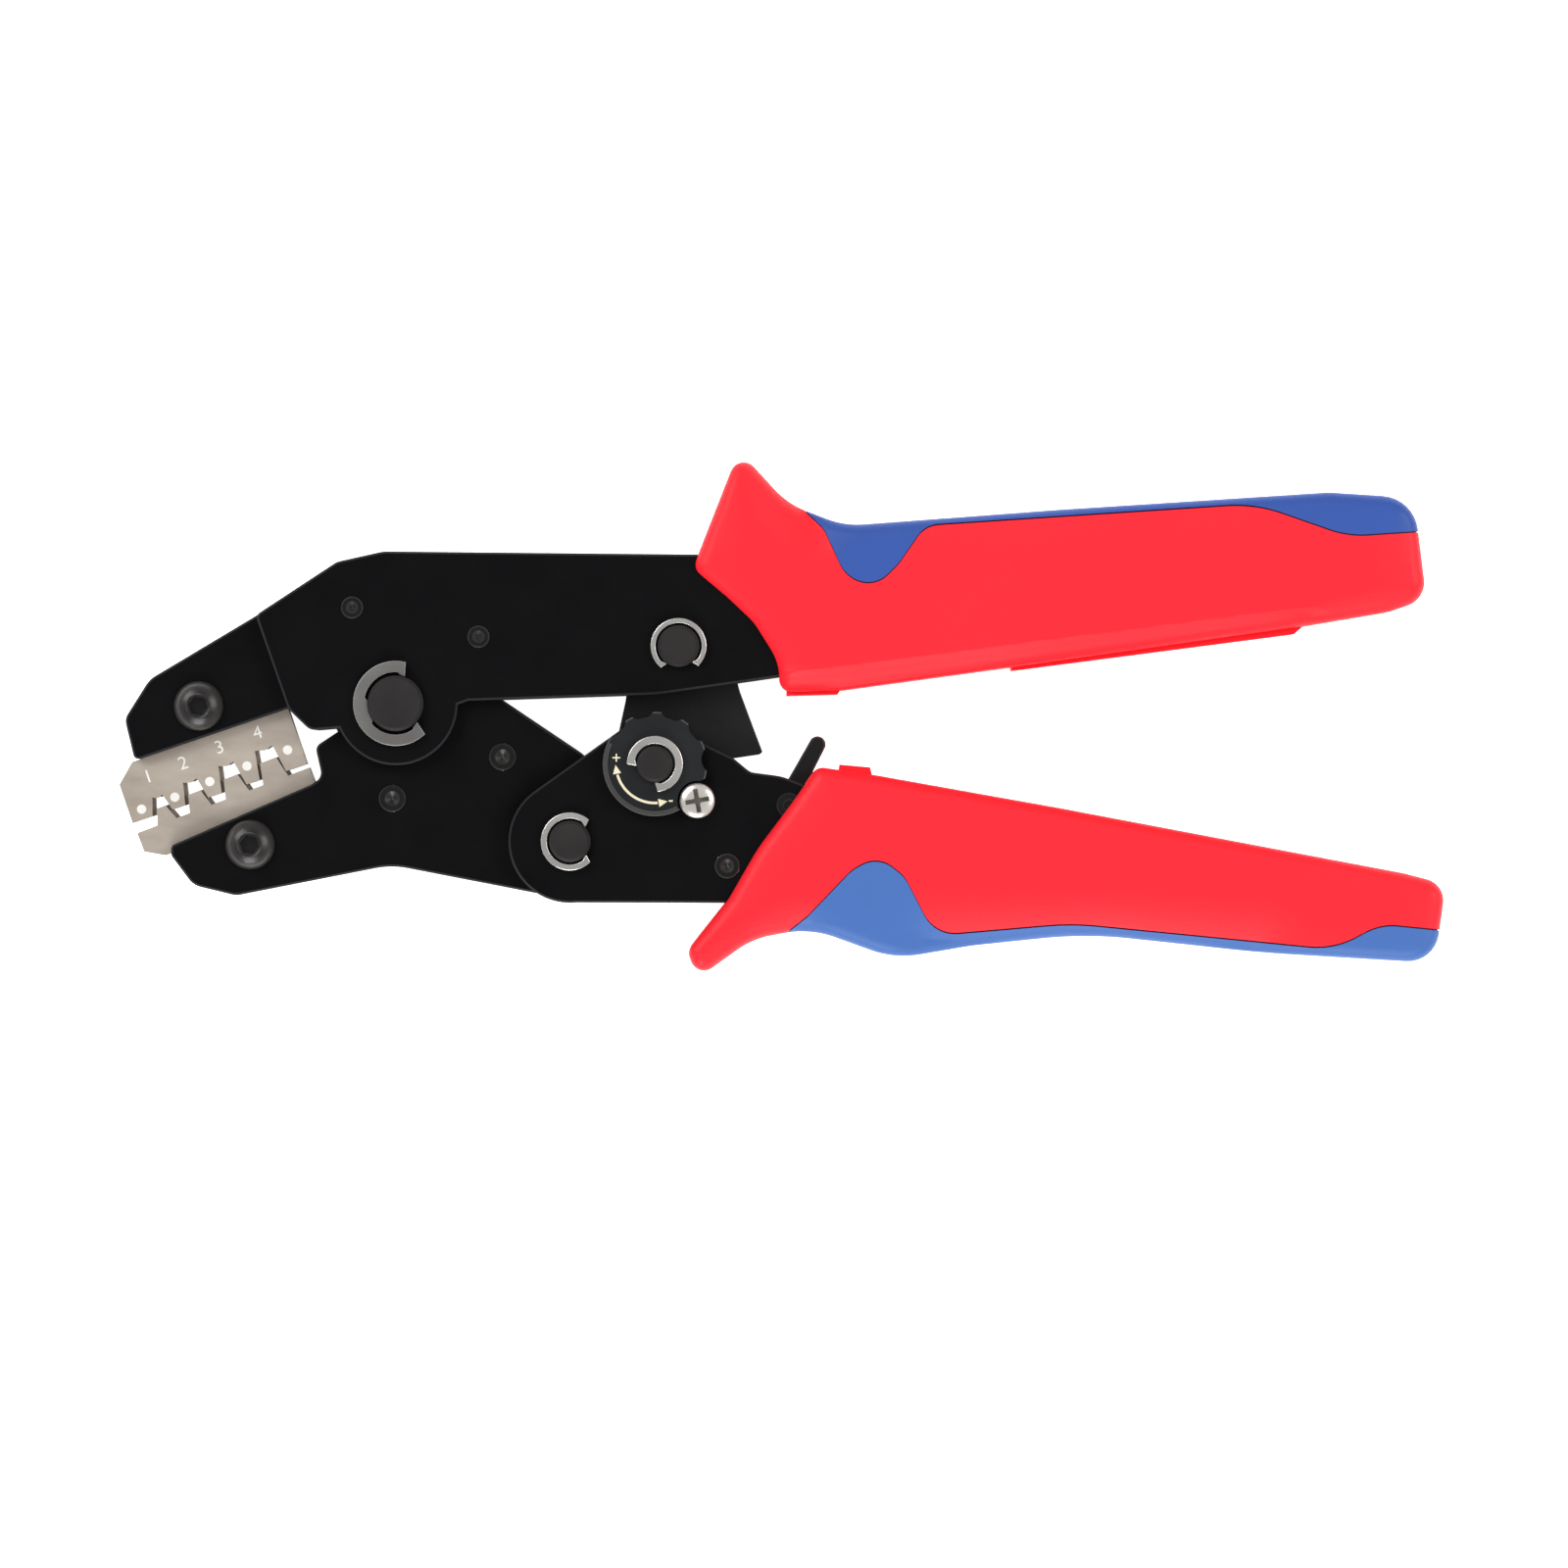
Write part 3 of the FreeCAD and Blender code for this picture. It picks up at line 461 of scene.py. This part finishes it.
# Ratchet link and pawl: hardened dark steel. Their two springs are close-wound bright wire, and pull the
# handles open and the pawl back to the middle.
hardened_steel = metal_finish("hardened_steel", (0.006, 0.006, 0.0065), (0.012, 0.012, 0.0125), 0.42, 0.08, 0.1,
                              edge=(0.07, 0.07, 0.072), specular=0.15, bump=0.1)
coat(hardened_steel, "ratchet_link_front", "ratchet_link_rear", "ratchet_pawl")
spring_wire = metal_finish("spring_wire", (0.3, 0.3, 0.3), (0.42, 0.42, 0.41), 0.3, 0.05, 1.0)
SPRINGS = [
    # name, node, the bodies at its two ends, the ends of its coils, radius of the coils and of the wire
    ("handle_spring_coil", "return_spring", ["upper_arm"], (14.46, 10.06), (30.87, 12.99), 1.75, 0.33),
    ("pawl_spring_coil", "pawl_spring", ["lower_handle", "pawl"], (49.01, -21.38), (51.29, -17.86), 0.88, 0.2),
]
COIL_STEPS = 20
for name, node, bodies, start, end, coil, wire in SPRINGS:
    run = Vector((end[0] - start[0], end[1] - start[1], 0)) * MM
    bpy.ops.object.select_all(action="DESELECT")
    bpy.ops.mesh.primitive_circle_add(vertices=8, radius=wire * MM, rotation=(math.pi / 2, 0, 0))
    spring = bpy.context.object
    spring.name = name
    bpy.ops.object.transform_apply(location=False, rotation=True, scale=False)
    spring.data.transform(Matrix.Translation((coil * MM, 0, 0)))
    winding = spring.modifiers.new("winding", "SCREW")
    winding.axis = "Z"
    winding.angle = math.tau
    winding.steps = COIL_STEPS
    winding.render_steps = COIL_STEPS
    winding.screw_offset = wire * 2.1 * MM
    winding.iterations = int(run.length / winding.screw_offset) - 1
    bpy.ops.object.modifier_apply(modifier=winding.name)
    bpy.ops.object.mode_set(mode="EDIT")
    bpy.ops.mesh.select_all(action="SELECT")
    bpy.ops.mesh.remove_doubles(threshold=0.000001)
    bpy.ops.mesh.select_all(action="DESELECT")
    bpy.ops.mesh.select_non_manifold()
    bpy.ops.mesh.edge_face_add()
    bpy.ops.mesh.select_all(action="SELECT")
    bpy.ops.mesh.normals_make_consistent(inside=False)
    bpy.ops.object.mode_set(mode="OBJECT")
    base = Vector((MAIN.x + start[0] * MM, MAIN.y + start[1] * MM, MID_LEVEL * MM))
    spring.data.transform(Matrix.Translation(base) @ run.to_track_quat("Z", "Y").to_matrix().to_4x4()
                          @ Matrix.Translation((0, 0, wire * MM)))
    finished(spring, spring_wire, 60)
    if len(bodies) == 1:
        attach(spring, bodies[0])
    else:
        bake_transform(spring)
    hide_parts(node)

# The adjusting wheel: slate-dark steel, notched round two thirds of its edge, with a raised rim on the plain
# part. A pale gold arrow with a plus and a minus shows which way to turn it.
WHEEL = Vector(next(joint["pos_m"] for joint in frame["joints"] if joint["name"] == "wheel_turn"))
WHEEL_FACE = 17.75
ARROW_R = 5.6
PRINT_HEIGHT = 0.06
slate_steel = metal_finish("slate_steel", (0.0065, 0.007, 0.008), (0.0125, 0.0135, 0.015), 0.42, 0.08, 0.2,
                           edge=(0.1, 0.1, 0.102), specular=0.2, bump=0.1)
coat(slate_steel, "adjusting_wheel")
# The rim band's steel is lighter than the wheel's face.
rim_steel = metal_finish("lighter_rim_slate_steel", (0.035, 0.036, 0.034), (0.055, 0.056, 0.053), 0.36, 0.08, 0.3,
                         edge=(0.11, 0.11, 0.105), specular=0.3, bump=0.1)
pale_gold = metal_finish("pale_gold_print", (0.55, 0.50, 0.34), (0.68, 0.63, 0.46), 0.5, 0.05, 0.2)


def wheel_arc(name, radius, width, height, first, last, finish):
    """Flat band round the wheel's face between two angles."""
    bpy.ops.object.select_all(action="DESELECT")
    bpy.ops.mesh.primitive_plane_add(size=1, rotation=(math.pi / 2, 0, 0))
    band = bpy.context.object
    band.name = name
    band.scale = (width * MM, height * MM, 1)
    bpy.ops.object.transform_apply(location=False, rotation=True, scale=True)
    turn = Matrix.Rotation(math.radians(first), 4, "Z")
    band.data.transform(Matrix.Translation((WHEEL.x, WHEEL.y, WHEEL_FACE * MM)) @ turn
                        @ Matrix.Translation((radius * MM, 0, 0)))
    bpy.ops.object.mode_set(mode="EDIT")
    bpy.ops.mesh.select_all(action="SELECT")
    bpy.ops.mesh.spin(steps=36, angle=math.radians(first - last), center=(WHEEL.x, WHEEL.y, 0), axis=(0, 0, 1))
    bpy.ops.mesh.select_all(action="SELECT")
    bpy.ops.mesh.remove_doubles(threshold=0.000001)
    bpy.ops.mesh.normals_make_consistent(inside=False)
    bpy.ops.object.mode_set(mode="OBJECT")
    finished(band, finish)
    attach(band, "adjuster")


wheel_arc("wheel_rim_band", 7.08, 0.62, 0.24, 155, 297, rim_steel)
wheel_arc("wheel_arrow_line", ARROW_R, 0.36, PRINT_HEIGHT, 196, 274, pale_gold)
for name, angle, heading in (("wheel_arrow_head_plus", 190, 100), ("wheel_arrow_head_minus", 280, 10)):
    bpy.ops.object.select_all(action="DESELECT")
    bpy.ops.mesh.primitive_cylinder_add(vertices=3, radius=0.85 * MM, depth=PRINT_HEIGHT * MM)
    head = bpy.context.object
    head.name = name
    at = Matrix.Rotation(math.radians(angle), 2) @ Vector((ARROW_R, 0)) * MM
    turn = Matrix.Rotation(math.radians(heading - 90), 4, "Z")
    narrow = Matrix.Diagonal((0.8, 1.0, 1.0, 1.0))
    head.data.transform(Matrix.Translation((WHEEL.x + at.x, WHEEL.y + at.y, WHEEL_FACE * MM)) @ turn @ narrow)
    finished(head, pale_gold)
    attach(head, "adjuster")
for name, sign, angle in (("wheel_plus_mark", "+", 172), ("wheel_minus_mark", "-", 294)):
    at = Matrix.Rotation(math.radians(angle), 2) @ Vector((ARROW_R, 0)) * MM
    spot = Matrix.Translation((WHEEL.x + at.x, WHEEL.y + at.y, (WHEEL_FACE + MARK_HEIGHT / 2) * MM))
    mark = flat_mark(name, sign, 2.4, pale_gold, spot)
    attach(mark, "adjuster")

# The lock screw: a nickel-plated screw with a cross recess. Its head sits in one of the wheel's notches and
# keeps it from turning.
bright_nickel = metal_finish("bright_nickel", (0.62, 0.58, 0.52), (0.80, 0.77, 0.72), 0.24, 0.08, 0.85,
                             edge=(0.9, 0.88, 0.84), bump=0.1)
# Darker steel for the floor of the cross recess: painted shade.
painted_recess_shade = metal_finish("painted_recess_shade", (0.12, 0.11, 0.095), (0.2, 0.185, 0.165), 0.45, 0.08, 0.5)
LOCK_TOP = 17.9
LOCK_SCREW = [
    # radius, level
    (1.3, 13.6), (1.5, 13.8), (1.5, 16.12), (2.4, 16.12), (2.55, 16.25), (2.55, 17.3), (2.4, 17.55), (2.0, 17.75),
    (1.3, 17.87), (0.5, LOCK_TOP),
]
CROSS_TURN = 10
CROSS_SLOT = (3.4, 0.66, 2.6)
low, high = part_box("lock_screw")
centre = ((low[0] + high[0]) / 2, (low[1] + high[1]) / 2)
lock_screw = turned_piece("lock_screw_head", centre, LOCK_SCREW)
for turn in (CROSS_TURN, CROSS_TURN + 90):
    bpy.ops.mesh.primitive_cube_add(size=1, location=(centre[0], centre[1], LOCK_TOP * MM),
                                    rotation=(0, 0, math.radians(turn)), scale=[side * MM for side in CROSS_SLOT])
    shaped(lock_screw, "DIFFERENCE", bpy.context.object)
bpy.ops.mesh.primitive_cone_add(vertices=4, radius1=0.2 * MM, radius2=1.25 * MM, depth=1.2 * MM,
                                location=(centre[0], centre[1], (LOCK_TOP - 0.2) * MM),
                                rotation=(0, 0, math.radians(CROSS_TURN)))
shaped(lock_screw, "DIFFERENCE", bpy.context.object)
finished(lock_screw, bright_nickel, 40)
# The floor faces of the cross recess get the darker steel, as painted shade in the recess.
lock_screw.data.materials.append(painted_recess_shade)
for face in lock_screw.data.polygons:
    above_slot_floor = face.center.z / MM - (LOCK_TOP - CROSS_SLOT[2] / 2)
    if -0.3 < above_slot_floor < 0.4 and face.normal.z > 0.9:
        face.material_index = 1
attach(lock_screw, "lower_handle")
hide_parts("lock_screw")

# The grips: a soft red moulding pushed over the plates, with a hard blue inlay let into its outer side.
# Each is drawn as one outline with rounded rims and parted along the seam, where a dark violet bead set inside the
# gap shows as painted shade. The front and back are crowned, and fall away in a drafted band along the inner side.
GRIP_HALF = 9.0
GRIP_RIM = 1.7
HOLLOW_HALF = 7.2
SEAM_GAP = 0.2
CROWN_REACH = 7.0
CROWN_DROP = 0.7
GRID_PITCH = 2.0
GRID_ALONG = range(20, 77)
GRID_ACROSS = range(-21, 19)


def cut_lines(block, lines):
    """Cut a block's faces by upright planes, each through a point in millimetres with a normal."""
    bpy.ops.object.select_all(action="DESELECT")
    bpy.context.view_layer.objects.active = block
    block.select_set(True)
    bpy.ops.object.mode_set(mode="EDIT")
    for at, facing in lines:
        bpy.ops.mesh.select_all(action="SELECT")
        place = (MAIN.x + at[0] * MM, MAIN.y + at[1] * MM, 0)
        bpy.ops.mesh.bisect(plane_co=place, plane_no=(*facing, 0))
    bpy.ops.object.mode_set(mode="OBJECT")


def side_distance(place, start, end):
    """Distance in the plan from a place to a straight side."""
    side = end - start
    along = max(0.0, min(1.0, (place - start).dot(side) / side.length_squared))
    return (place - start - side * along).length


def crowned(block, corners, falls):
    """Lower the front and back towards the edge, and towards lines with a reach and a depth."""
    sides = [(Vector(a[:2]), Vector(b[:2])) for a, b in zip(corners, corners[1:] + corners[:1])]
    falls = [(Vector(a), Vector(b), reach, depth, power) for a, b, reach, depth, power in falls]
    for vertex in block.data.vertices:
        place = Vector(((vertex.co.x - MAIN.x) / MM, (vertex.co.y - MAIN.y) / MM))
        share = (vertex.co.z / MM - MID_LEVEL) / GRIP_HALF
        edge = min(side_distance(place, a, b) for a, b in sides)
        drop = CROWN_DROP * max(0.0, 1 - edge / CROWN_REACH) ** 2
        for start, end, reach, depth, power in falls:
            drop += depth * max(0.0, 1 - side_distance(place, start, end) / reach) ** power
        vertex.co.z -= share * drop * MM


MOULD_GRAIN_SCALE = 1900


def moulding_finish(name, colour, shade, rough):
    """Moulded plastic: faint cloudiness in the colour and a fine spark-eroded grain."""
    finish = bpy.data.materials.new(name)
    finish.use_nodes = True
    nodes = finish.node_tree.nodes
    links = finish.node_tree.links
    shader = nodes["Principled BSDF"]
    shader.inputs["Specular IOR Level"].default_value = 0.16
    place = nodes.new("ShaderNodeTexCoord")
    cloud = nodes.new("ShaderNodeTexNoise")
    cloud.inputs["Scale"].default_value = 45
    cloud.inputs["Detail"].default_value = 4
    links.new(place.outputs["Object"], cloud.inputs["Vector"])
    tint = nodes.new("ShaderNodeMix")
    tint.data_type = "RGBA"
    tint.inputs["A"].default_value = (*colour, 1)
    tint.inputs["B"].default_value = (*shade, 1)
    links.new(cloud.outputs["Fac"], tint.inputs["Factor"])
    links.new(tint.outputs["Result"], shader.inputs["Base Color"])
    gloss = nodes.new("ShaderNodeMapRange")
    gloss.inputs["To Min"].default_value = rough - 0.06
    gloss.inputs["To Max"].default_value = rough + 0.06
    links.new(cloud.outputs["Fac"], gloss.inputs["Value"])
    links.new(gloss.outputs["Result"], shader.inputs["Roughness"])
    grain = nodes.new("ShaderNodeTexVoronoi")
    grain.inputs["Scale"].default_value = MOULD_GRAIN_SCALE
    links.new(place.outputs["Object"], grain.inputs["Vector"])
    relief = nodes.new("ShaderNodeBump")
    relief.inputs["Strength"].default_value = 0.12
    relief.inputs["Distance"].default_value = 0.0001
    links.new(grain.outputs["Distance"], relief.inputs["Height"])
    links.new(relief.outputs["Normal"], shader.inputs["Normal"])
    return finish


coral_red = moulding_finish("coral_red_moulding", (0.80, 0.0165, 0.027), (0.74, 0.0125, 0.022), 0.45)
upper_blue = moulding_finish("upper_blue_moulding", (0.030, 0.072, 0.285), (0.026, 0.063, 0.25), 0.42)
lower_blue = moulding_finish("lower_blue_moulding", (0.050, 0.122, 0.348), (0.043, 0.107, 0.311), 0.42)

# Corners are (x, y, radius) from the main pivot. A fall is a line with a reach, a depth and a power, and a crease
# is a point with a normal.
GRIPS = {
    "upper": {
        "body": "upper_arm",
        "blue": upper_blue,
        "outward": 1,
        "outline": [
            (49.4, 36.5, 2.0), (42.7, 19.4, 2.0), (47.6, 15.3, 20), (51.5, 11.6, 8), (55.0, 6.0, 8),
            (55.3, 1.6, 1.9), (64.4, 1.9), (87.8, 5.1), (131.3, 11.2), (143.2, 13.2, 8), (148.4, 15.0, 3.5),
            (146.6, 29.6, 5.5), (134.3, 30.4, 12), (95.4, 27.9, 200), (64.6, 25.6, 12), (56.4, 28.8, 12),
        ],
        "pads": [
            [(56.6, 8.0), (56.2, 1.1), (63.6, 1.3), (64.4, 2.5), (64.6, 8.0)],
            [(88.0, 9.0), (88.7, 4.7), (129.4, 10.0), (131.2, 11.6), (131.3, 15.0)],
        ],
        "falls": [
            ((55.3, 1.6), (131.3, 11.2), 2.6, 0.8, 1), ((131.3, 11.2), (148.4, 15.0), 2.6, 0.6, 1),
            ((55.3, 4.3), (131.3, 13.9), 0.8, -0.14, 1), ((50.6, 35.0), (60.0, 26.0), 6.0, 1.8, 1.5),
        ],
        "creases": [((55.3, rise), (-0.1252, 0.992)) for rise in (3.5, 4.3, 5.1)],
        "seam": [
            (52.0, 40.0), (59.1, 27.4), (61.6, 25.0, 4), (64.6, 18.4, 5), (68.8, 16.4, 4), (72.4, 20.0, 6),
            (76.2, 25.5, 4), (123.6, 28.6, 20), (137.0, 23.9, 14), (149.0, 24.7), (160.0, 40.0),
        ],
        "hollow": [
            (36.0, 21.6), (58.0, 21.45), (66.0, 19.75), (96.0, 21.35), (137.2, 22.6), (137.7, 16.3),
            (130.0, 14.25), (88.0, 9.05), (55.0, 3.65), (48.0, 2.2), (36.0, 1.0),
        ],
    },
    "lower": {
        "body": "lower_handle",
        "blue": lower_blue,
        "outward": -1,
        "outline": [
            (60.6, -9.1, 1.9), (69.0, -10.3), (95.4, -15.0, 80),
            (145.0, -24.4, 4), (151.2, -26.0, 3.2), (149.6, -37.4, 4.5), (124.5, -35.9, 200), (99.4, -33.2, 60),
            (83.0, -34.9, 40), (71.8, -36.8, 14), (59.7, -32.4, 14), (51.4, -33.9, 12), (43.4, -39.65, 2.0),
            (41.9, -35.6, 2.0), (47.8, -28.2, 10), (52.0, -20.9, 30), (57.1, -14.1, 40),
        ],
        "pads": [[(63.2, -13.0), (63.9, -8.8), (68.3, -9.2), (69.2, -13.0)]],
        "falls": [
            ((76.0, -34.0), (124.0, -35.0), 8.0, 1.6, 1.5), ((46.0, -38.5), (58.0, -32.6), 5.0, 1.0, 1.5),
        ],
        "creases": [],
        "seam": [
            (50.0, -50.0), (56.5, -32.75), (59.3, -30.5), (65.6, -23.9, 6), (69.4, -21.8, 4), (73.2, -24.8, 5),
            (77.6, -33.3, 5), (97.3, -31.6, 40), (136.0, -35.4, 12), (141.0, -31.6, 8), (151.0, -32.6),
            (160.0, -50.0),
        ],
        "hollow": [
            (36.0, -28.85), (46.3, -28.85), (75.0, -29.05), (107.0, -30.05), (136.2, -31.75), (134.1, -26.05),
            (95.0, -18.65), (62.0, -12.85), (55.6, -10.35), (48.0, -7.0), (36.0, -7.0),
        ],
    },
}
PAD_HALF = 6.4
BEAD_HALF = 0.5
BEAD_SUNK = (0.996, 0.96, 0.97)
THROUGH = 15
# A dark violet bead sunk inside the seam gap: painted shade in the seam.
painted_seam_shade = moulding_finish("painted_seam_shade_violet", (0.05, 0.012, 0.04), (0.035, 0.009, 0.03), 0.6)


def copied(block, name):
    """A second block with its own mesh."""
    double = block.copy()
    double.data = block.data.copy()
    double.name = name
    bpy.context.collection.objects.link(double)
    return double


def moved(corners, rise):
    """The same corners, shifted across the tool."""
    return [(corner[0], corner[1] + rise, *corner[2:]) for corner in corners]


for side, grip in GRIPS.items():
    shell = drawn_block(side + "_grip_red", grip["outline"], GRIP_HALF, GRIP_RIM)
    for pad in grip["pads"]:
        shaped(shell, "UNION", drawn_block("pad", pad, PAD_HALF))
    grid = [((line * GRID_PITCH, 0), (1, 0)) for line in GRID_ALONG]
    grid += [((0, line * GRID_PITCH), (0, 1)) for line in GRID_ACROSS]
    cut_lines(shell, grid + grip["creases"])
    crowned(shell, grip["outline"], grip["falls"])
    inlay = copied(shell, side + "_grip_blue")
    bead = copied(shell, side + "_seam_shade_bead")
    middle = sum((Vector(corner) for corner in bead.bound_box), Vector()) / 8
    sunk = Matrix.Diagonal((*BEAD_SUNK, 1))
    bead.data.transform(Matrix.Translation(middle) @ sunk @ Matrix.Translation(-middle))
    for piece, operation, shift in (
            (shell, "DIFFERENCE", 0), (inlay, "INTERSECT", SEAM_GAP),
            (bead, "INTERSECT", -BEAD_HALF), (bead, "DIFFERENCE", BEAD_HALF)):
        shaped(piece, operation, drawn_block("seam_tool", moved(grip["seam"], grip["outward"] * shift), THROUGH))
    for piece in (shell, inlay, bead):
        shaped(piece, "DIFFERENCE", drawn_block("hollow_tool", grip["hollow"], HOLLOW_HALF))
    finished(bead, painted_seam_shade)
    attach(bead, grip["body"])
    for piece, finish, node in ((shell, coral_red, "_grip_shell"), (inlay, grip["blue"], "_grip_inlay")):
        finished(piece, finish)
        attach(piece, grip["body"])
        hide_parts(side + node)
